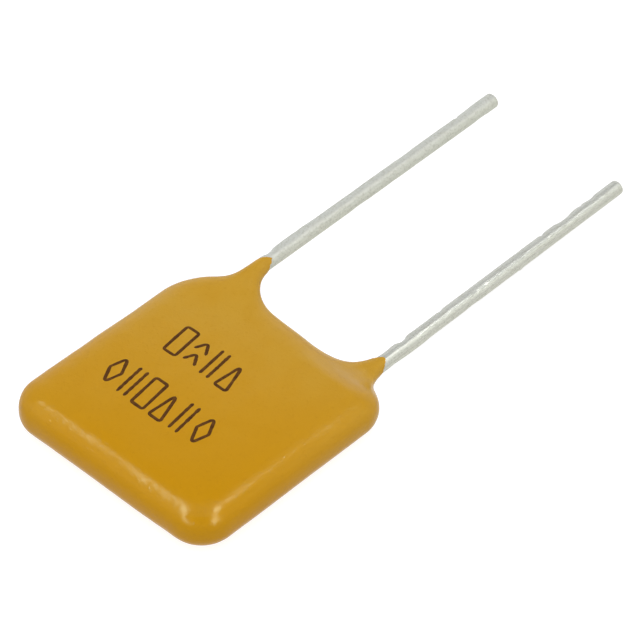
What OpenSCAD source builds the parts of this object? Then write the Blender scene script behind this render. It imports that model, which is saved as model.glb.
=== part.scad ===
// Radial-leaded resettable fuse: a flat polymer chip between two foils, a
// wire soldered to each foil, and a dipped epoxy coating that runs out along
// each wire in a horn.
//
// Millimetres. The fuse lies on its back. The origin is on the flat back of
// the coating, midway between the wires and midway along the body.
//   +X  from the front wire to the back wire
//   +Y  along the wires, towards their cut ends
//   +Z  up, out of the marked face

/* [Coating] */
// Width of the coated body, across the wires
coat_width = 8.70;        // [8.56:0.02:9.00]
// Height of the coated body, from its free edge to the web between the wires
coat_height = 8.60;       // [8.50:0.02:8.90]
// Thickness of the body at its free edge
thick_free = 1.69;        // [1.66:0.01:1.90]
// Thickness of the body at the edge the wires leave from
thick_lead = 1.40;        // [1.38:0.01:1.55]
// How much the marked face swells in the middle
face_crown = 0.06;        // [0.04:0.01:0.12]
// Depth of the rounded edge, measured in from the outline
edge_reach = 1.15;        // [1.00:0.05:1.30]
// Squareness of the rounded edge: 2 is an ellipse
edge_power = 2.5;         // [2.2:0.1:3.0]
// Plan radius of the free corner on the front wire's side
corner_free_front = 1.15; // [1.05:0.01:1.60]
// Plan radius of the free corner on the back wire's side
corner_free_back = 1.32;  // [1.10:0.01:1.60]
// Plan radius of the corner beside the front wire
corner_front = 1.74;      // [1.40:0.01:1.80]
// Plan radius of the corner beside the back wire
corner_back = 1.34;       // [1.20:0.01:1.70]
// How far the lead edge stands above the back
edge_rise = 0.07;         // [0.00:0.01:0.12]

/* [Horns] */
// Outside radius of the coating round each wire
sleeve_r = 0.30;          // [0.29:0.005:0.34]
// Where the coating ends on the front wire
sleeve_front_y = 5.80;    // [5.76:0.01:6.10]
// Where the coating ends on the back wire
sleeve_back_y = 5.67;     // [5.64:0.01:6.10]
// Where the body starts to rise to the front wire
rise_from = 2.50;         // [2.40:0.05:2.80]
// Where the body starts to draw in to the back wire
fall_from = 3.10;         // [2.80:0.05:3.20]
// Where the body has drawn in to both wires
horn_to = 4.91;           // [4.85:0.01:5.00]
// How far the rise and the fall reach sideways from the wires
horn_spread = 1.51;       // [1.40:0.01:1.60]
// Softness of the front horn's fillet towards the other wire
front_inner = 1.41;       // [1.30:0.01:1.55]
// Softness of the front horn's fillet on its outer side
front_outer = 0.63;       // [0.58:0.01:0.75]
// Softness of the back horn's fillet towards the other wire
back_inner = 1.78;        // [1.60:0.01:1.85]
// Softness of the back horn's fillet on its outer side
back_outer = 1.08;        // [0.95:0.01:1.15]

/* [Wires] */
// Wire diameter
wire_d = 0.51;            // [0.49:0.01:0.52]
// Distance between the wires
wire_pitch = 5.10;        // [5.00:0.02:5.20]
// Where the front wire is cut
front_end_y = 16.40;      // [12.00:0.10:30.00]
// Where the back wire is cut
back_end_y = 16.90;       // [12.00:0.10:30.00]
// Rounding of the cut end
cut_round = 0.05;         // [0.03:0.01:0.08]
// Thickness of the flattened end that lies on the foil
tab_t = 0.26;             // [0.22:0.01:0.28]
// Width of the flattened end
tab_w = 0.68;             // [0.60:0.02:0.76]
// How far past the middle of the body the flattened end reaches
tab_past = 1.20;          // [0.60:0.10:2.00]

/* [Chip] */
// Chip width, across the wires
chip_w = 7.00;            // [6.60:0.10:7.10]
// Chip height, along the wires
chip_h = 6.70;            // [6.40:0.10:6.80]
// Distance from the middle of the chip to the middle of the body
chip_back = 0.15;         // [0.10:0.05:0.25]
// Thickness of the conductive polymer
core_t = 0.42;            // [0.40:0.01:0.43]
// Thickness of each foil
foil_t = 0.04;            // [0.03:0.005:0.045]
// Height of the chip's mid-plane above the back of the coating
chip_mid = 0.955;         // [0.94:0.005:0.96]

/* [Solder] */
// Width of the solder foot on each side of the flattened end
solder_foot = 0.36;       // [0.20:0.02:0.50]
// How high the solder climbs the flattened end, as a share of its thickness
solder_climb = 0.80;      // [0.50:0.05:0.95]
// How far the solder runs past the tip of the flattened end
solder_past = 0.25;       // [0.15:0.05:0.40]

/* [Hidden] */
$fn = 48;
eps = 0.01;
chip_t = core_t + 2 * foil_t;
wire_r = wire_d / 2;
front_x = -wire_pitch / 2;
back_x = wire_pitch / 2;
front_z = chip_mid + chip_t / 2 + wire_r;
back_z = chip_mid - chip_t / 2 - wire_r;
chip_far = chip_h / 2 - chip_back;
// the flattened end stops at the chip's edge, then swells back to the round wire
taper_y = chip_far + 0.10;
round_y = 4.90;
neck_r = wire_r - 0.012;
wall_y = 5.50;
half_w = coat_width / 2;
half_h = coat_height / 2;
strip_from = 3.20;

// ---- the outside of the coating: a plan outline, a middle surface and its depth ----
function lim(v, a, b) = min(max(v, a), b);
function sq(v) = v * v;
function hyp(a, b) = sqrt(a * a + b * b);
function mix(a, b, w) = a * (1 - w) + b * w;
function step3(t) = t * t * (3 - 2 * t);
function soft_min(a, b, k) =
    let (h = lim(0.5 + 0.5 * (b - a) / k, 0, 1)) mix(b, a, h) - k * h * (1 - h);

function along(y) = lim(y / coat_height + 0.5, 0, 1);
function half_t(y) = mix(thick_free, thick_lead, sq(along(y))) / 2;
// height of the parting line round the body
function mid_z(y) = half_t(y) + edge_rise * sq(lim(2 * along(y) - 1, 0, 1));
function crown(x, y) = face_crown * max(1 - sq(x / half_w), 0) * max(1 - sq(y / half_h), 0);
function corner_r(x, y) = y < 0 ? (x < 0 ? corner_free_front : corner_free_back)
    : x < 0 ? corner_front : corner_back;
// distances in plan: from the rounded rectangle, from the strip along a wire, from both together
function body_d(x, y) =
    let (r = corner_r(x, y), qx = abs(x) - half_w + r, qy = abs(y) - half_h + r)
    hyp(max(qx, 0), max(qy, 0)) + min(max(qx, qy), 0) - r;
function strip_d(x, y, wx) = max(abs(x - wx) - sleeve_r, strip_from - y);
function web(x, wx, out, inner, outer) = mix(inner, outer, 1 / (1 + exp(-8 * (x - wx) * out)));
function outline_d(x, y) = y < 0 ? body_d(x, y) :
    soft_min(
        soft_min(body_d(x, y), strip_d(x, y, front_x), web(x, front_x, -1, front_inner, front_outer)),
        strip_d(x, y, back_x), web(x, back_x, 1, back_inner, back_outer));
function plan_d(x, y) = max(outline_d(x, y), 3 * (y - (x < 0 ? sleeve_front_y : sleeve_back_y)));
// share of the horn in the shape at a plan point
function horn(x, y, wx, from) =
    step3(lim((y - from) / (horn_to - from), 0, 1)) * exp(-sq((x - wx) / horn_spread));
// middle height, depth above, depth below, edge depth and squareness
function section(x, y) =
    let (f = horn(x, y, front_x, rise_from), b = horn(x, y, back_x, fall_from), m = mid_z(y))
    [mix(mix(m, front_z, f), back_z, b),
     mix(mix(half_t(y) + crown(x, y), sleeve_r, f), sleeve_r, b),
     mix(mix(m, sleeve_r, f), sleeve_r, b),
     mix(mix(edge_reach, sleeve_r, f), sleeve_r, b),
     mix(mix(edge_power, 2, f), 2, b)];
function dome(a, n) = pow(1 - pow(a, n), 1 / n);
function inset(x, y, s) = lim((plan_d(x, y) + s[3]) / s[3], 0, 1);
function top_z(x, y) = let (s = section(x, y)) s[0] + s[1] * dome(inset(x, y, s), s[4]);
function low_z(x, y) = let (s = section(x, y)) s[0] - s[2] * dome(inset(x, y, s), 0.8 + 0.6 * s[4]);
// edge of the plan, walking out along Y from a point inside
function edge_y(x, y_in, y_out, n = 17) = n == 0 ? y_in :
    let (m = (y_in + y_out) / 2)
    plan_d(x, m) < 0 ? edge_y(x, m, y_out, n - 1) : edge_y(x, y_in, m, n - 1);

// stations across the body: rounded edges, then close together at each horn
edge_dx = [for (i = [0 : 3]) edge_reach * (1 - cos(15 * i))];
core_dx = [for (a = [-80 : 16 : 80]) sleeve_r * sin(a)];
flank_dx = [for (i = [0 : 7]) sleeve_r * (1.01 + 0.09 * i + 0.006 * i * i * i)];
web_dx = sleeve_r * 4.79;
function reversed(v) = [for (i = [len(v) - 1 : -1 : 0]) v[i]];
stations = concat(
    [for (d = edge_dx) d - half_w],
    [for (d = reversed(flank_dx)) front_x - d], [for (d = core_dx) front_x + d],
    [for (d = flank_dx) front_x + d], [front_x + web_dx],
    [for (k = [-1 : 1]) k * (back_x - web_dx) / 2],
    [back_x - web_dx], [for (d = reversed(flank_dx)) back_x - d],
    [for (d = core_dx) back_x + d], [for (d = flank_dx) back_x + d],
    [for (d = reversed(edge_dx)) half_w - d]);

// rows along a station: rounded free edge, flat middle, rounded lead edge
rows_free = 6;
rows_mid = 4;
rows_lead = 13;
function rows(y0, y3) =
    let (y1 = y0 + edge_reach, y2 = min(2.6, y3 - edge_reach))
    concat(
        [for (j = [0 : rows_free - 1]) y0 + (y1 - y0) * (1 - cos(90 * j / rows_free))],
        [for (j = [0 : rows_mid - 1]) y1 + (y2 - y1) * j / rows_mid],
        [for (j = [0 : rows_lead]) y2 + (y3 - y2) * sin(90 * j / rows_lead)]);

module coating_outside() {
    nu = len(stations);
    ends = [for (i = [0 : nu - 1])
        let (x = lim(stations[i], -half_w + 1e-4, half_w - 1e-4))
        [edge_y(x, -2, -half_h - 0.1), edge_y(x, 2.2, 6.3)]];
    grid = [for (i = [0 : nu - 1]) rows(ends[i][0], ends[i][1])];
    nv = len(grid[0]);
    top = [for (i = [0 : nu - 1]) for (j = [0 : nv - 1])
        let (x = stations[i], y = grid[i][j],
             rim = i == 0 || i == nu - 1 || j == 0 || j == nv - 1)
        [x, y, rim ? section(x, y)[0] : top_z(x, y)]];
    low = [for (i = [1 : nu - 2]) for (j = [1 : nv - 2])
        let (x = stations[i], y = grid[i][j], z = low_z(x, y)) [x, y, z < 1e-4 ? 0 : z]];
    function t(i, j) = i * nv + j;
    function b(i, j) = i == 0 || i == nu - 1 || j == 0 || j == nv - 1
        ? t(i, j) : nu * nv + (i - 1) * (nv - 2) + j - 1;
    polyhedron(
        points = concat(top, low),
        faces = [for (i = [0 : nu - 2]) for (j = [0 : nv - 2])
            let (same = (i < nu / 2) == (j < nv / 2))
            for (f = same
                ? [[t(i, j), t(i, j + 1), t(i + 1, j + 1)], [t(i, j), t(i + 1, j + 1), t(i + 1, j)],
                   [b(i, j), b(i + 1, j + 1), b(i, j + 1)], [b(i, j), b(i + 1, j), b(i + 1, j + 1)]]
                : [[t(i, j), t(i, j + 1), t(i + 1, j)], [t(i + 1, j), t(i, j + 1), t(i + 1, j + 1)],
                   [b(i, j), b(i + 1, j), b(i, j + 1)], [b(i + 1, j), b(i + 1, j + 1), b(i, j + 1)]]) f],
        convexity = 6);
}

// ---- inside pieces ----
module slab(z0, t) {
    translate([-chip_w / 2, chip_far - chip_h, z0]) cube([chip_w, chip_h, t]);
}

// a wire drawn with its axis at x = 0, z = 0 and its flat towards -Z
module wire(end) {
    // round part, then the cut
    translate([0, end - cut_round, 0]) rotate([90, 0, 0])
        cylinder(r = wire_r, h = end - cut_round - wall_y);
    translate([0, end, 0]) rotate([90, 0, 0])
        cylinder(r1 = wire_r - cut_round, r2 = wire_r, h = cut_round);
    // slight neck inside the coating
    translate([0, wall_y, 0]) rotate([90, 0, 0])
        cylinder(r1 = wire_r, r2 = neck_r, h = wall_y - round_y);
    // swelling from the flat to the round
    hull() {
        translate([0, round_y + eps, 0]) rotate([90, 0, 0]) cylinder(r = neck_r, h = eps);
        translate([-tab_w / 2, taper_y, -wire_r]) cube([tab_w, eps, tab_t]);
    }
    // flat that lies on the foil
    translate([-tab_w / 2, -tab_past, -wire_r])
        cube([tab_w, tab_past + taper_y + eps, tab_t]);
}

// concave solder fillet along the flat, before the wire is taken out of it
module solder_bank() {
    w = tab_w / 2;
    h = tab_t * solder_climb;
    arc = [for (a = [0 : 15 : 90]) [w + solder_foot * (1 - sin(a)), h * (1 - cos(a))]];
    translate([0, chip_far, -wire_r]) rotate([90, 0, 0])
        linear_extrude(chip_far + tab_past + solder_past)
            polygon(concat(arc, [for (p = reversed(arc)) [-p[0], p[1]]]));
}

// joins the room for the flat to the room for the chip, inside both
module seat() {
    translate([-tab_w / 2 + 0.05, -tab_past + 0.05, -wire_r - 0.02])
        cube([tab_w - 0.10, tab_past + chip_far - 0.10, 0.04]);
}

module at_front() { translate([front_x, 0, front_z]) children(); }
module at_back() { translate([back_x, 0, back_z]) rotate([0, 180, 0]) children(); }

module front_solder() {
    color([0.66, 0.67, 0.68]) difference() { at_front() solder_bank(); at_front() wire(front_end_y); }
}
module back_solder() {
    color([0.66, 0.67, 0.68]) difference() { at_back() solder_bank(); at_back() wire(back_end_y); }
}
module front_lead() { color([0.77, 0.77, 0.74]) at_front() wire(front_end_y); }
module back_lead() { color([0.77, 0.77, 0.74]) at_back() wire(back_end_y); }
module ptc_core() { color([0.09, 0.09, 0.10]) slab(chip_mid - core_t / 2, core_t); }
module front_electrode() { color([0.62, 0.61, 0.57]) slab(chip_mid + core_t / 2, foil_t); }
module back_electrode() { color([0.62, 0.61, 0.57]) slab(chip_mid - chip_t / 2, foil_t); }
module epoxy_coating() {
    color([0.78, 0.57, 0.15]) difference() {
        coating_outside();
        slab(chip_mid - chip_t / 2, chip_t);
        at_front() wire(front_end_y);
        at_back() wire(back_end_y);
        at_front() solder_bank();
        at_back() solder_bank();
        at_front() seat();
        at_back() seat();
    }
}

epoxy_coating();
ptc_core();
front_electrode();
back_electrode();
front_lead();
back_lead();
front_solder();
back_solder();
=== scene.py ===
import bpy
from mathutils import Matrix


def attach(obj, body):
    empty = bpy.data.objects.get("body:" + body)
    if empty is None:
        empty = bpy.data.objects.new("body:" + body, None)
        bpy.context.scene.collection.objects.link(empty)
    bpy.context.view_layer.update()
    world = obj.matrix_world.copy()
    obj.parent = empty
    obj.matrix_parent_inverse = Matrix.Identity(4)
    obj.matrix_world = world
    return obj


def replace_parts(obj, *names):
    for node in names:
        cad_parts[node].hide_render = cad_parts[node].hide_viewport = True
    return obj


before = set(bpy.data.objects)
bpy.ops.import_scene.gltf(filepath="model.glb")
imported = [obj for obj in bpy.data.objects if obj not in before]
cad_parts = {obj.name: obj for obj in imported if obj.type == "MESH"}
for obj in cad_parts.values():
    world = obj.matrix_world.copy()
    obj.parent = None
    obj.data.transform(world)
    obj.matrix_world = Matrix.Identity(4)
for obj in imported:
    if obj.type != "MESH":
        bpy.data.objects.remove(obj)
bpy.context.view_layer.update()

import math

import bpy
import numpy as np
from mathutils import Matrix, Vector

MM = 0.001

# ---------------------------------------------------------------- dimensions
# millimetres, in the part's frame: +X front wire to back wire, +Y along the
# wires, +Z up out of the marked face, z = 0 on the flat back
COAT_W, COAT_H = 8.70, 8.60
HALF_FREE, HALF_LEAD = 0.845, 0.699
CROWN, REACH, POWER = 0.06, 1.15, 2.5
CORNERS = (1.15, 1.32, 1.74, 1.34)
RISE = 0.07
HORN_TO, HORN_SPREAD, STRIP_FROM = 4.91, 1.51, 3.2
SLEEVE_R, FILM_R = 0.285, 0.262
PITCH, WIRE_R = 5.10, 0.255
FRONT_X, FRONT_Z = -PITCH / 2, 1.46
BACK_X, BACK_Z = PITCH / 2, 0.45
# outward side, wire axis x and z, where the swelling starts, fillets inside and outside, tip of the film, how fast its tongue narrows, and its bearing round the wire
HORNS = (
    (-1.0, FRONT_X, FRONT_Z, 2.5, 1.41, 0.63, 5.715, 0.30, 1.05),
    (1.0, BACK_X, BACK_Z, 3.1, 1.78, 1.08, 5.655, 0.32, 1.40),
)


# ------------------------------------------------------------ coating surface
def smin(a, b, k):
    h = np.clip(0.5 + 0.5 * (b - a) / k, 0, 1)
    return b * (1 - h) + a * h - k * h * (1 - h)


def waves(p, seed, n, shortest, longest):
    """A smooth random field of about unit size: plane waves from a fixed seed."""
    rng = np.random.default_rng(seed)
    d = rng.normal(size=(n, 3))
    d /= np.linalg.norm(d, axis=1)[:, None]
    k = 2 * np.pi / np.exp(rng.uniform(np.log(shortest), np.log(longest), n))
    ph = rng.uniform(0, 2 * np.pi, n)
    out = np.zeros(p.shape[:-1])
    for i in range(n):
        out += np.sin((p @ d[i]) * k[i] + ph[i])
    return out / math.sqrt(n / 2)


def sheet(x, y):
    """Plan outline distance, middle height, depth above and below it, edge depth and edge power."""
    t = np.clip(y / COAT_H + 0.5, 0, 1)
    half = HALF_FREE + (HALF_LEAD - HALF_FREE) * t * t
    mid = half + RISE * np.clip(2 * t - 1, 0, 1) ** 2
    up = half + CROWN * np.maximum(1 - (2 * x / COAT_W) ** 2, 0) * np.maximum(1 - (2 * y / COAT_H) ** 2, 0)
    down, reach, power = mid, REACH, POWER
    r = np.where(y < 0, np.where(x < 0, CORNERS[0], CORNERS[1]), np.where(x < 0, CORNERS[2], CORNERS[3]))
    qx, qy = np.abs(x) - COAT_W / 2 + r, np.abs(y) - COAT_H / 2 + r
    d = np.hypot(np.maximum(qx, 0), np.maximum(qy, 0)) + np.minimum(np.maximum(qx, qy), 0) - r
    for side, wx, wz, start, inner, outer, end, taper, bearing in HORNS:
        w = np.clip((y - start) / (HORN_TO - start), 0, 1)
        w = w * w * (3 - 2 * w) * np.exp(-((x - wx) / HORN_SPREAD) ** 2)
        rad = SLEEVE_R - (SLEEVE_R - FILM_R) * np.clip((y - 4.7) / (end - 4.7), 0, 1) ** 1.3
        mid, up, down = mid * (1 - w) + wz * w, up * (1 - w) + rad * w, down * (1 - w) + rad * w
        reach, power = reach * (1 - w) + rad * w, power * (1 - w) + 2 * w
        o = 0.5 + 0.5 * np.tanh((x - wx) * side / 0.25)
        d = smin(d, np.maximum(np.abs(x - wx) - rad, STRIP_FROM - y), outer * o + inner * (1 - o))
    return d, mid, up, down, reach, power


def coat_field(p, fine=True):
    x, y, z = p[..., 0], p[..., 1], p[..., 2]
    d, mid, up, down, reach, power = sheet(x, y)
    over = z > mid
    h, n = np.where(over, up, down), np.where(over, power, 2 + 0.6 * (power - 2))
    a, b = np.maximum(d + reach, 0) / reach, np.abs(z - mid) / h
    g = (a ** n + b ** n) ** (1 / n) + 1e-9
    out = (g - 1) / np.maximum(np.hypot((a / g) ** (n - 1) / reach, (b / g) ** (n - 1) / h), 1e-6)
    for side, wx, wz, start, inner, outer, end, taper, bearing in HORNS:
        # the film runs out along the wire in a tongue
        ang = np.arctan2(z - wz, x - wx)
        tip = end - taper * (np.sqrt(4 * np.sin((ang - bearing) / 2) ** 2 + 0.06) - 0.245)
        tip = tip + 0.012 * np.sin(3 * ang + side) + 0.007 * np.sin(5 * ang + 2.0 * side)
        out = np.where((x > 0) == (side > 0), np.maximum(out, y - tip), out)
    out = np.maximum(out, -z)
    if fine:
        # slow sag and ripple of a dipped film, kept off the flat back and the thin ends
        keep = np.clip(z / 0.5, 0, 1) * np.clip((4.9 - y) / 0.8, 0, 1)
        out = out - keep * (0.006 * waves(p, 11, 16, 1.6, 4.5) + 0.0012 * waves(p, 23, 24, 0.35, 0.9)) + 0.009 * keep
    return out


def gradient(f, p, e=0.004):
    g = np.empty_like(p)
    for i in range(3):
        d = np.zeros(3)
        d[i] = e
        g[:, i] = (f(p + d) - f(p - d)) / (2 * e)
    return g


def settle(f, p, rounds=2):
    """Moves points onto the zero of f."""
    for _ in range(rounds):
        g = gradient(f, p)
        p = p - (f(p) / np.maximum((g * g).sum(1), 1e-6))[:, None] * g
    return p


def surface_net(f, lo, hi, step):
    """Quads around the zero of f, one vertex in each grid cell that it crosses."""
    n = [int(math.ceil((hi[i] - lo[i]) / step)) + 1 for i in range(3)]
    axes = [lo[i] + step * np.arange(n[i]) for i in range(3)]
    v = np.empty(n)
    for i, xv in enumerate(axes[0]):
        yy, zz = np.meshgrid(axes[1], axes[2], indexing="ij")
        v[i] = f(np.stack([np.full_like(yy, xv), yy, zz], -1))
    ins = v < 0
    c = [n[i] - 1 for i in range(3)]
    total, count = np.zeros(c + [3]), np.zeros(c)
    corner = lambda a, o: a[o[0]:o[0] + c[0], o[1]:o[1] + c[1], o[2]:o[2] + c[2]]
    for o in np.ndindex(2, 2, 2):
        for ax in range(3):
            if o[ax]:
                continue
            o2 = list(o)
            o2[ax] = 1
            va, vb = corner(v, o), corner(v, o2)
            cross = corner(ins, o) != corner(ins, o2)
            t = np.where(cross, va / np.where(cross, va - vb, 1), 0)
            for k in range(3):
                total[..., k] += np.where(cross, o[k] + (t if k == ax else 0), 0)
            count += cross
    live = count > 0
    ids = -np.ones(c, int)
    ids[live] = np.arange(live.sum())
    base = np.argwhere(live)
    verts = np.array(lo) + step * (base + total[live] / count[live][:, None])
    faces = []
    for ax in range(3):
        b, d = (ax + 1) % 3, (ax + 2) % 3
        s0, s1 = [slice(1, n[i] - 1) for i in range(3)], [slice(1, n[i] - 1) for i in range(3)]
        s0[ax], s1[ax] = slice(0, n[ax] - 1), slice(1, n[ax])
        a0, a1 = ins[tuple(s0)], ins[tuple(s1)]
        at = np.argwhere(a0 != a1)
        outward = a0[tuple(at.T)]
        at = at + np.array([0 if i == ax else 1 for i in range(3)])
        eb, ed = np.eye(3, dtype=int)[b], np.eye(3, dtype=int)[d]
        q = np.stack([ids[tuple(w.T)] for w in (at - eb - ed, at - ed, at, at - eb)], 1)
        faces.append(np.where(outward[:, None], q, q[:, ::-1]))
    return verts, np.vstack(faces)


def relaxed(f, verts, faces, rounds):
    """Evens out the quads along the surface."""
    e = np.vstack([faces[:, [i, (i + 1) % 4]] for i in range(4)])
    deg = np.bincount(e[:, 0], minlength=len(verts)) + np.bincount(e[:, 1], minlength=len(verts))
    for _ in range(rounds):
        acc = np.zeros_like(verts)
        for k in range(3):
            acc[:, k] = np.bincount(e[:, 0], verts[e[:, 1], k], len(verts)) + np.bincount(e[:, 1], verts[e[:, 0], k], len(verts))
        verts = settle(f, 0.4 * verts + 0.6 * acc / deg[:, None], 1)
    return verts


def top_z(x, y):
    """Height of the marked face above plan points."""
    lo, hi = np.full(len(x), 0.9), np.full(len(x), 2.4)
    for _ in range(26):
        m = (lo + hi) / 2
        out = coat_field(np.stack([x, y, m], -1)) > 0
        hi, lo = np.where(out, m, hi), np.where(out, lo, m)
    return (lo + hi) / 2


# ------------------------------------------------------------- mesh helpers
def mesh_object(name, verts, faces, mat, normals=None):
    me = bpy.data.meshes.new(name)
    me.from_pydata((np.asarray(verts) * MM).tolist(), [], [tuple(int(i) for i in f) for f in faces])
    me.update()
    me.polygons.foreach_set("use_smooth", [True] * len(me.polygons))
    if normals is not None:
        me.normals_split_custom_set_from_vertices([tuple(v) for v in normals])
    me.materials.append(mat)
    ob = bpy.data.objects.new(name, me)
    bpy.context.scene.collection.objects.link(ob)
    return ob


# ---------------------------------------------------------------- materials
class Nodes:
    def __init__(self, name):
        self.mat = bpy.data.materials.new(name)
        self.mat.use_nodes = True
        self.t = self.mat.node_tree
        self.t.nodes.clear()
        self.out = self.t.nodes.new("ShaderNodeOutputMaterial")
        self.bsdf = self.t.nodes.new("ShaderNodeBsdfPrincipled")
        self.link(self.bsdf.outputs[0], self.out.inputs[0])
        self.coord = self.t.nodes.new("ShaderNodeTexCoord").outputs["Object"]

    def link(self, a, b):
        self.t.links.new(a, b)

    def set(self, **kw):
        for k, v in kw.items():
            self.bsdf.inputs[k.replace("_", " ")].default_value = v

    def place(self, sx=1.0, sy=1.0, sz=1.0, off=(0, 0, 0)):
        """Object coordinates in millimetres, stretched."""
        m = self.t.nodes.new("ShaderNodeMapping")
        m.inputs["Scale"].default_value = (1000 * sx, 1000 * sy, 1000 * sz)
        m.inputs["Location"].default_value = off
        self.link(self.coord, m.inputs["Vector"])
        return m.outputs[0]

    def noise(self, scale, detail=2.0, rough=0.5, at=None, distort=0.0):
        n = self.t.nodes.new("ShaderNodeTexNoise")
        n.inputs["Scale"].default_value = scale
        n.inputs["Detail"].default_value = detail
        n.inputs["Roughness"].default_value = rough
        n.inputs["Distortion"].default_value = distort
        self.link(at or self.place(), n.inputs["Vector"])
        return n.outputs["Fac"]

    def ramp(self, fac, stops):
        r = self.t.nodes.new("ShaderNodeValToRGB")
        while len(r.color_ramp.elements) < len(stops):
            r.color_ramp.elements.new(0.5)
        for el, (pos, col) in zip(r.color_ramp.elements, stops):
            el.position = pos
            el.color = (col, col, col, 1) if isinstance(col, float) else (*col, 1)
        self.link(fac, r.inputs[0])
        return r.outputs[0]

    def mix(self, fac, a, b, mode="MIX"):
        m = self.t.nodes.new("ShaderNodeMix")
        m.data_type = "RGBA"
        m.blend_type = mode
        for sock, v in ((m.inputs["Factor"], fac), (m.inputs["A"], a), (m.inputs["B"], b)):
            if hasattr(v, "links"):
                self.link(v, sock)
            else:
                sock.default_value = v if isinstance(v, float) else (*v, 1)
        return m.outputs["Result"]

    def math(self, op, a, b, clamp=False):
        m = self.t.nodes.new("ShaderNodeMath")
        m.operation = op
        m.use_clamp = clamp
        for sock, v in ((m.inputs[0], a), (m.inputs[1], b)):
            if hasattr(v, "links"):
                self.link(v, sock)
            else:
                sock.default_value = v
        return m.outputs[0]

    def bump(self, height, depth_mm, strength=1.0, normal=None):
        b = self.t.nodes.new("ShaderNodeBump")
        b.inputs["Strength"].default_value = strength
        b.inputs["Distance"].default_value = depth_mm * MM
        self.link(height, b.inputs["Height"])
        if normal is not None:
            self.link(normal, b.inputs["Normal"])
        return b.outputs[0]


def lin(r, g, b):
    f = lambda c: c / 12.92 if c <= 0.04045 else ((c + 0.055) / 1.055) ** 2.4
    return tuple(f(c / 255) for c in (r, g, b))


def epoxy_material():
    n = Nodes("epoxy")
    # painted sheen: a little paler towards the wires and the -X side, standing in for reflection that grows on the far
    # side, with a slow random mottle added
    along = n.t.nodes.new("ShaderNodeSeparateXYZ")
    n.link(n.place(), along.inputs[0])
    painted_sheen_and_mottle = n.math("SUBTRACT", n.math("MULTIPLY", along.outputs["Y"], 0.10), n.math("MULTIPLY", along.outputs["X"], 0.055))
    painted_sheen_and_mottle = n.math("ADD", painted_sheen_and_mottle, n.math("MULTIPLY", n.noise(0.22, 2.0, 0.5), 0.5))
    col = n.ramp(n.math("ADD", painted_sheen_and_mottle, 0.25), [(0.12, lin(197, 141, 9)), (0.85, lin(198, 151, 48))])
    mid = n.noise(1.1, 3.0, 0.55)
    speck = n.noise(9.0, 2.0, 0.6)
    col = n.mix(n.ramp(mid, [(0.35, 0.0), (0.75, 0.30)]), col, lin(192, 137, 5))
    col = n.mix(n.ramp(speck, [(0.58, 0.0), (0.80, 0.30)]), col, lin(177, 121, 8))
    n.link(col, n.bsdf.inputs["Base Color"])
    n.link(n.ramp(n.noise(2.2, 3.0, 0.6), [(0.25, 0.17), (0.75, 0.23)]), n.bsdf.inputs["Roughness"])
    # slight orange peel, and sparse nibs that catch the light along the edges
    peel = n.bump(n.noise(4.5, 1.0, 0.5), 0.007, 0.55)
    nibs = n.bump(n.ramp(n.noise(12.0, 1.0, 0.5), [(0.55, 0.0), (0.76, 1.0)]), 0.005, 0.6, peel)
    n.link(nibs, n.bsdf.inputs["Normal"])
    n.set(IOR=1.50, Specular_IOR_Level=0.17, Specular_Tint=(0.80, 1.0, 0.70, 1.0))
    return n.mat


def wire_material(name, x, z, tone, painted_light_tones, metal, shine, rough):
    """Tinned wire about an axis at x, z: painted reflection and shade, cool grey on one side and paler, slightly yellow
    grey on the other, with drawing streaks and a fine grain.
    """
    n = Nodes(name)
    streak = n.noise(1.0, 4.0, 0.6, n.place(9.0, 0.14, 9.0))
    fleck = n.noise(1.0, 3.0, 0.6, n.place(7.0, 2.2, 7.0))
    grain = n.noise(13.0, 3.0, 0.65)
    at = n.t.nodes.new("ShaderNodeSeparateXYZ")
    n.link(n.place(1 / WIRE_R, 1.0, 1 / WIRE_R, (-x / WIRE_R, 0.0, -z / WIRE_R)), at.inputs[0])
    # painted reflection and shade: colour set by the bearing round the wire axis, cool grey towards the upper -X side
    # and paler warm grey towards the lower +X side
    side = n.math("SUBTRACT", n.math("MULTIPLY", at.outputs["X"], 0.41), n.math("MULTIPLY", at.outputs["Z"], 0.285))
    side = n.math("ADD", n.math("ADD", side, 0.42), n.math("MULTIPLY", streak, 0.16))
    col = n.ramp(side, [(f, tuple(v * tone for v in lin(*c))) for f, c in painted_light_tones])
    col = n.mix(n.ramp(streak, [(0.42, 0.0), (0.75, 0.35)]), col, tuple(v * tone for v in lin(194, 196, 190)))
    col = n.mix(n.ramp(fleck, [(0.53, 0.0), (0.72, 0.40)]), col, tuple(v * tone for v in lin(190, 189, 172)))
    col = n.mix(n.ramp(grain, [(0.49, 0.0), (0.68, 0.60)]), col, tuple(v * tone for v in lin(172, 172, 158)))
    n.link(col, n.bsdf.inputs["Base Color"])
    n.link(n.ramp(streak, [(0.3, rough), (0.7, rough + 0.12)]), n.bsdf.inputs["Roughness"])
    b = n.bump(streak, 0.018, 0.6)
    b = n.bump(fleck, 0.008, 0.45, b)
    n.link(n.bump(grain, 0.010, 0.45, b), n.bsdf.inputs["Normal"])
    n.set(Metallic=metal, Specular_IOR_Level=shine)
    return n.mat


def ink_material():
    n = Nodes("ink")
    blot = n.noise(5.0, 3.0, 0.6)
    n.link(n.ramp(blot, [(0.3, lin(70, 40, 8)), (0.7, lin(102, 64, 17))]), n.bsdf.inputs["Base Color"])
    n.link(n.ramp(n.noise(8.0), [(0.3, 0.40), (0.7, 0.58)]), n.bsdf.inputs["Roughness"])
    n.link(n.bump(n.noise(16.0, 2.0), 0.002, 0.4), n.bsdf.inputs["Normal"])
    n.set(Specular_IOR_Level=0.08)
    return n.mat


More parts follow.
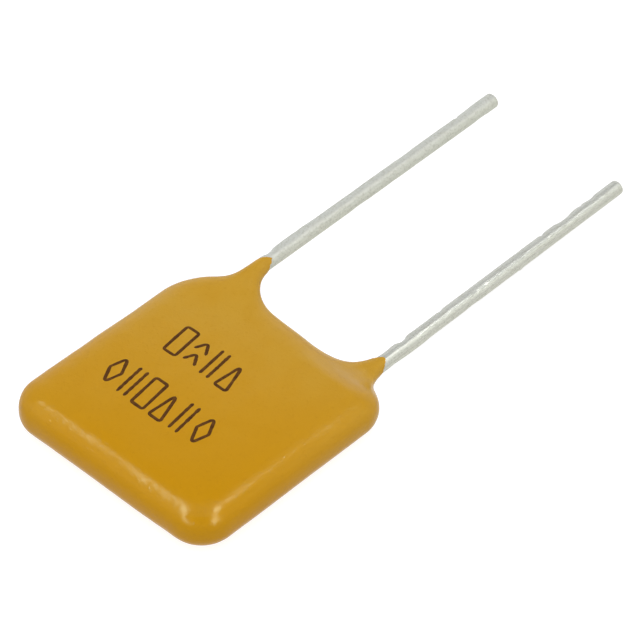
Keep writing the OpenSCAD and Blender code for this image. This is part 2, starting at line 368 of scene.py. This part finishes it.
def plain_material(name, dark, light, rough, metallic, scale, stretch=(1, 1, 1), depth=0.004):
    n = Nodes(name)
    f = n.noise(scale, 4.0, 0.6, n.place(*stretch))
    n.link(n.ramp(f, [(0.3, dark), (0.7, light)]), n.bsdf.inputs["Base Color"])
    n.link(n.ramp(n.noise(scale * 2.3), [(0.3, rough - 0.06), (0.7, rough + 0.06)]), n.bsdf.inputs["Roughness"])
    n.link(n.bump(f, depth, 0.5), n.bsdf.inputs["Normal"])
    n.set(Metallic=metallic)
    return n.mat


EPOXY, INK = epoxy_material(), ink_material()
# painted reflection and shade across each wire: colour stops along the bearing round the wire, one table for each wire
FRONT_PAINTED_LIGHT = ((0.24, (207, 209, 203)), (0.34, (200, 202, 195)), (0.42, (201, 203, 194)), (0.56, (210, 212, 200)), (0.78, (214, 216, 201)), (0.95, (225, 227, 211)))
BACK_PAINTED_LIGHT = ((0.26, (206, 208, 202)), (0.40, (205, 208, 200)), (0.58, (207, 209, 196)), (0.78, (213, 214, 200)), (0.95, (223, 224, 208)))
WIRE_FRONT = wire_material("tinned_wire_dull", FRONT_X, FRONT_Z, 0.925, FRONT_PAINTED_LIGHT, 0.08, 0.32, 0.36)
WIRE_BACK = wire_material("tinned_wire", BACK_X, BACK_Z, 0.95, BACK_PAINTED_LIGHT, 0.31, 0.40, 0.22)
POLYMER = plain_material("carbon_polymer", (0.010, 0.010, 0.011), (0.022, 0.022, 0.024), 0.62, 0.0, 6.0)
FOIL = plain_material("nickel_foil", (0.40, 0.38, 0.33), (0.56, 0.53, 0.47), 0.42, 1.0, 3.0, (6.0, 0.4, 1.0), 0.002)
SOLDER = plain_material("solder", (0.36, 0.37, 0.38), (0.52, 0.53, 0.54), 0.38, 1.0, 4.0)

# ------------------------------------------------------------------ coating
verts, quads = surface_net(coat_field, (-4.50, -4.47, -0.16), (4.51, 6.00, 1.96), 0.055)
verts = settle(coat_field, verts)
verts = relaxed(coat_field, verts, quads, 4)
verts = settle(coat_field, verts)
norm = gradient(coat_field, verts, 0.012)
norm /= np.linalg.norm(norm, axis=1)[:, None]
coat = mesh_object("coating", verts, quads, EPOXY, norm)
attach(coat, "root")
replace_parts(coat, "epoxy_coating")


# -------------------------------------------------------------------- wires
def wire_object(name, mat, x, z, end, flip, notches, seed):
    """One wire: flattened end on the foil, a swelling, the round length with its nicks, and its cut."""
    seg = 56
    th = np.linspace(0, 2 * np.pi, seg, endpoint=False)
    rng = np.random.default_rng(seed)
    ys = [-1.2, -1.2, -1.17, *np.linspace(-1.0, 3.3, 18), *np.linspace(3.4, 4.9, 14), *np.linspace(5.0, end - 0.10, 260),
          end - 0.06, end - 0.035, end - 0.015, end - 0.004, end]
    tw, tt = 0.68 / 2, 0.26 / 2
    dents = [(rng.uniform(5.9, end - 0.6), rng.uniform(0, 6.28), rng.uniform(0.05, 0.25), rng.uniform(0.01, 0.045)) for _ in range(44)]
    rings = []
    for i, y in enumerate(ys):
        s = np.clip((y - 3.3) / 1.6, 0, 1)
        s = s * s * (3 - 2 * s)
        e = 5.0 * (1 - s) + 2.0 * s
        a, b, c = tw * (1 - s) + WIRE_R * s, tt * (1 - s) + WIRE_R * s, (tt - WIRE_R) * (1 - s)
        cs, sn = np.cos(th), np.sin(th)
        px = a * np.sign(cs) * np.abs(cs) ** (2 / e)
        pz = c + b * np.sign(sn) * np.abs(sn) ** (2 / e)
        r = np.ones(seg)
        if y > 5.0:
            for dy, da, dr, deep in dents:
                r -= deep * np.exp(-((y - dy) / dr) ** 2) * np.exp(-(np.angle(np.exp(1j * (th - da))) / 0.35) ** 2)
            for dy, da, dr, deep in notches:
                off = np.angle(np.exp(1j * (th - math.radians(da - 180 * flip))))
                r -= deep * math.exp(-((y - dy) / dr) ** 4) * np.exp(-(off / 0.75) ** 2)
        cut = end - y
        if cut < 0.05:
            r = r * (1 - 0.20 * (1 - math.sqrt(max(0.0, 1 - (1 - cut / 0.05) ** 2))))
        if i == 0:
            r = r * 0.90
        rings.append(np.stack([px * r, np.full(seg, y), pz * r], -1))
    v = np.vstack(rings)
    # the cut leaves one lip of the end face slightly proud
    last = v[-seg:]
    last[:, 1] += 0.012 * np.cos(th - 1.0)
    v = np.vstack([v, [[0, ys[0], tt - WIRE_R]], [[0, end, 0]]])
    f = []
    for i in range(len(ys) - 1):
        for j in range(seg):
            k = (j + 1) % seg
            f.append((i * seg + j, (i + 1) * seg + j, (i + 1) * seg + k, i * seg + k))
    n0, n1 = len(v) - 2, len(v) - 1
    top = (len(ys) - 1) * seg
    for j in range(seg):
        k = (j + 1) % seg
        f.append((n0, j, k))
        f.append((n1, top + k, top + j))
    if flip:
        v[:, 0] *= -1
        v[:, 2] *= -1
    v = v + np.array([x, 0, z])
    ob = mesh_object(name, v, f, mat)
    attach(ob, "root")
    return ob


# nicks along the edges: place along the wire, bearing in degrees, half length and depth as a share of the radius
FRONT_NICKS = ((5.85, 145, 0.20, 0.17), (6.95, 145, 0.75, -0.09), (9.7, -38, 0.30, 0.05), (12.2, 145, 0.35, 0.05), (14.77, 143, 0.09, 0.12), (15.95, 145, 0.60, -0.09), (15.6, -35, 0.25, 0.05))
BACK_NICKS = ((5.85, 142, 0.18, 0.05), (6.64, 145, 0.22, 0.28), (6.85, -36, 0.60, -0.08), (8.45, 145, 0.11, 0.09), (7.60, 146, 0.60, 0.05), (9.55, -36, 0.28, 0.05), (11.88, -33, 0.06, -0.07), (13.33, 144, 0.10, 0.14), (14.40, 145, 0.36, 0.20), (15.24, 145, 0.08, 0.11), (15.70, 145, 0.20, 0.12))
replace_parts(wire_object("wire_front", WIRE_FRONT, FRONT_X, FRONT_Z, 16.40, False, FRONT_NICKS, 3), "front_lead")
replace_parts(wire_object("wire_back", WIRE_BACK, BACK_X, BACK_Z, 16.90, True, BACK_NICKS, 5), "back_lead")


# ------------------------------------------------------------------ marking
def rounded(points, closed, radius, step=0.03):
    """A path through the points with its corners rounded, sampled evenly."""
    p = np.array(points, float)
    out = []
    n = len(p)
    for i in range(n):
        if not closed and i in (0, n - 1):
            out.append(p[i])
            continue
        a, b, c = p[i - 1], p[i], p[(i + 1) % n]
        u, w = (a - b) / np.linalg.norm(a - b), (c - b) / np.linalg.norm(c - b)
        half = math.acos(np.clip(u @ w, -1, 1)) / 2
        t = radius / math.tan(half)
        for s in np.linspace(0, 1, 9):
            q = (1 - s) ** 2 * (b + u * t) + 2 * s * (1 - s) * b + s * s * (b + w * t)
            out.append(q)
    out = np.array(out)
    if closed:
        out = np.vstack([out, out[:1]])
    d = np.r_[0, np.cumsum(np.linalg.norm(np.diff(out, axis=0), axis=1))]
    m = max(4, int(d[-1] / step))
    t = np.linspace(0, d[-1], m + 1)
    path = np.stack([np.interp(t, d, out[:, i]) for i in range(2)], -1)
    return path[:-1] if closed else path


def stroke(path, closed, width, seed):
    """A thin slab of ink along a path on the marked face, as vertices and faces."""
    rng = np.random.default_rng(seed)
    n = len(path)
    if closed:
        tan = np.roll(path, -1, 0) - np.roll(path, 1, 0)
    else:
        tan = np.gradient(path, axis=0)
    tan /= np.linalg.norm(tan, axis=1)[:, None]
    nor = np.stack([-tan[:, 1], tan[:, 0]], -1)
    s = np.linspace(0, 1, n, endpoint=not closed)
    wob = sum(rng.normal() * np.sin(2 * np.pi * k * s + rng.uniform(0, 6.28)) for k in (2, 3, 5, 8)) / 2
    w = width / 2 * (1 + 0.10 * wob)
    if not closed:
        d = np.minimum(s, 1 - s) * np.linalg.norm(np.diff(path, axis=0), axis=1).sum()
        w = w * np.sqrt(np.clip(1 - (1 - np.clip(d / (width / 2), 0, 1)) ** 2, 0.02, 1))
    lanes = np.linspace(-1, 1, 5)
    pts = np.concatenate([path + nor * (w * q)[:, None] for q in lanes])
    z = top_z(pts[:, 0], pts[:, 1])
    lift = np.repeat([-0.004, 0.003, 0.004, 0.003, -0.004], n)
    v = np.vstack([np.c_[pts, z + lift], np.c_[pts, z - 0.012]])
    f = []
    L = len(lanes)
    m = n if closed else n - 1
    at = lambda i, j, low: (L * n if low else 0) + i * n + j % n
    for j in range(m):
        for i in range(L - 1):
            f.append((at(i, j, 0), at(i, j + 1, 0), at(i + 1, j + 1, 0), at(i + 1, j, 0)))
            f.append((at(i, j, 1), at(i + 1, j, 1), at(i + 1, j + 1, 1), at(i, j + 1, 1)))
        f.append((at(0, j, 0), at(0, j, 1), at(0, j + 1, 1), at(0, j + 1, 0)))
        f.append((at(L - 1, j, 0), at(L - 1, j + 1, 0), at(L - 1, j + 1, 1), at(L - 1, j, 1)))
    if not closed:
        for i in range(L - 1):
            f.append((at(i, 0, 0), at(i + 1, 0, 0), at(i + 1, 0, 1), at(i, 0, 1)))
            f.append((at(i, n - 1, 0), at(i, n - 1, 1), at(i + 1, n - 1, 1), at(i + 1, n - 1, 0)))
    return v, f


BOX = [([(-0.5, -0.5), (0.5, -0.5), (0.5, 0.5), (-0.5, 0.5)], True)]
DIAMOND = [([(0, -0.5), (0.5, 0), (0, 0.5), (-0.5, 0)], True)]
WEDGE = [([(-0.5, -0.5), (0.5, -0.5), (0, 0.5)], True)]
BARS = [([(-0.3, -0.5), (-0.3, 0.5)], False), ([(0.3, -0.5), (0.3, 0.5)], False)]
CHEVRON = [([(-0.5, -0.42), (0, -0.05), (0.5, -0.42)], False), ([(-0.5, 0.05), (0, 0.42), (0.5, 0.05)], False)]
ROWS = (
    (-1.27, 1.28, ((-2.40, DIAMOND), (-1.66, BARS), (-0.92, BOX), (-0.16, WEDGE), (0.60, BARS), (1.40, DIAMOND))),
    (1.08, 1.26, ((-1.88, BOX), (-1.12, CHEVRON), (-0.40, BARS), (0.34, WEDGE))),
)
iv, jf, k = [], [], 0
for cy, tall, shapes in ROWS:
    for cx, shape in shapes:
        for pts, closed in shape:
            k += 1
            q = np.array(pts) * (0.50, tall)
            q[:, 0] -= 0.14 * q[:, 1]
            sv, sf = stroke(rounded(q + (cx, cy), closed, 0.09), closed, 0.160, 40 + k)
            base = sum(len(a) for a in iv)
            iv.append(sv)
            jf += [tuple(base + i for i in t) for t in sf]
mark = mesh_object("marking", np.vstack(iv), jf, INK)
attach(mark, "root")

# ---------------------------------------------------- carried-over CAD nodes
for node, mat in (("ptc_core", POLYMER), ("front_electrode", FOIL), ("back_electrode", FOIL), ("front_solder", SOLDER), ("back_solder", SOLDER)):
    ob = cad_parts[node]
    ob.data.materials.clear()
    ob.data.materials.append(mat)

# -------------------------------------------------------------------- stage
sc = bpy.context.scene
fl = Nodes("floor")
shade = fl.noise(0.02, 2.0)
fl.link(fl.ramp(shade, [(0.3, (0.34, 0.34, 0.34)), (0.7, (0.36, 0.36, 0.36))]), fl.bsdf.inputs["Base Color"])
fl.set(Roughness=0.9)
fl.set(Specular_IOR_Level=0.0)
fl.bsdf.inputs["Emission Color"].default_value = (1, 1, 1, 1)
fl.bsdf.inputs["Emission Strength"].default_value = 0.86
s = 900.0
floor = mesh_object("floor", [(-s, -s, -0.004), (s, -s, -0.004), (s, s, -0.004), (-s, s, -0.004)], [(0, 1, 2, 3)], fl.mat)
floor.visible_diffuse = False
floor.visible_glossy = False
floor.visible_shadow = False

# a pale room: white at the horizon and underneath, greyer overhead
world = bpy.data.worlds.new("studio")
sc.world = world
world.use_nodes = True
wt = world.node_tree
up_part = wt.nodes.new("ShaderNodeSeparateXYZ")
wt.links.new(wt.nodes.new("ShaderNodeTexCoord").outputs["Generated"], up_part.inputs[0])
height = wt.nodes.new("ShaderNodeMapRange")
height.inputs["From Min"].default_value = -1.0
wt.links.new(up_part.outputs["Z"], height.inputs["Value"])
tone = wt.nodes.new("ShaderNodeValToRGB")
for _ in range(6):
    tone.color_ramp.elements.new(0.5)
for el, (high, level) in zip(tone.color_ramp.elements, ((-1.0, 0.83), (-0.30, 0.89), (-0.10, 0.66), (0.06, 0.94), (0.2, 0.92), (0.48, 0.62), (0.66, 0.37), (1.0, 0.34))):
    el.position = (high + 1) / 2
    el.color = (level, level, level, 1)
wt.links.new(height.outputs[0], tone.inputs[0])
wt.links.new(tone.outputs[0], wt.nodes["Background"].inputs["Color"])

AZ, EL = math.radians(43.655), math.radians(44.489)
BACK = Vector((math.sin(AZ) * math.cos(EL), -math.cos(AZ) * math.cos(EL), math.sin(EL)))
RIGHT = Vector((math.cos(AZ), math.sin(AZ), 0))
UP = BACK.cross(RIGHT)
NEAR = Vector((math.sin(AZ), -math.cos(AZ), 0))


def panel(name, a, b, wide_mm, glow, gleam=True):
    """A panel between two points given in millimetres as right, near and high: a strip for the gleam on the edges, or a soft fill."""
    a, b = ((RIGHT * v[0] + NEAR * v[1] + Vector((0, 0, v[2]))) * MM for v in (a, b))
    d = bpy.data.lights.new(name, "AREA")
    d.shape = "RECTANGLE"
    d.size, d.size_y = (b - a).length, wide_mm * MM
    d.energy = glow * math.pi * d.size * d.size_y
    ob = bpy.data.objects.new(name, d)
    sc.collection.objects.link(ob)
    x = (b - a).normalized()
    at = (a + b) / 2
    z = (at - x * at.dot(x)).normalized()
    y = z.cross(x)
    ob.matrix_world = Matrix.Translation(at) @ Matrix((x, y, z)).transposed().to_4x4()
    ob.visible_diffuse, ob.visible_glossy = not gleam, gleam


panel("strip_left_far", (-119, -80, 218), (-119, -28, 218), 22, 16.5)
panel("strip_left", (-116, -22, 218), (-124, 15, 218), 44, 25)
panel("strip_left_near", (-124, 15, 218), (-170, 90, 218), 44, 21)
panel("strip_left_low", (-170, 90, 218), (-239, 198, 218), 44, 16)
panel("strip_left_end", (-239, 198, 218), (-300, 465, 140), 90, 15)
panel("strip_right_far", (130, -120, 218), (130, -45, 218), 44, 1.0)
panel("strip_right_mid", (119, -62, 218), (110, -28, 218), 36, 2.5)
panel("strip_right", (109, -34, 218), (107, 8, 218), 44, 28)
panel("strip_right_near", (107, 8, 218), (106, 46, 218), 44, 21)
panel("strip_right_low", (106, 46, 218), (182, 184, 218), 44, 14)
panel("strip_right_end", (182, 184, 218), (290, 400, 95), 80, 17)
panel("glow_left", (-215, -60, 160), (-215, 120, 160), 150, 1.2)
panel("glow_right", (215, -60, 160), (215, 120, 160), 150, 0.9)
panel("backdrop", (-170, -320, 110), (170, -320, 110), 200, 0.22)
panel("fill_top", (-150, 40, 350), (150, 40, 350), 300, 2.85, False)

cam = bpy.data.cameras.new("photo")
cam.sensor_width = 36.0
cam.sensor_fit = "HORIZONTAL"
cam.lens = 233.692
cam.clip_start = 0.01
cam.clip_end = 10.0
camera = bpy.data.objects.new("photo", cam)
sc.collection.objects.link(camera)
rot = Matrix((RIGHT, UP, BACK)).transposed().to_4x4()
camera.matrix_world = Matrix.Translation(Vector((64.9019, -62.6361, 93.1141)) * MM) @ rot
sc.camera = camera

sc.view_settings.view_transform = "Standard"
sc.view_settings.look = "None"
sc.view_settings.exposure = 0.0
sc.view_settings.gamma = 1.0
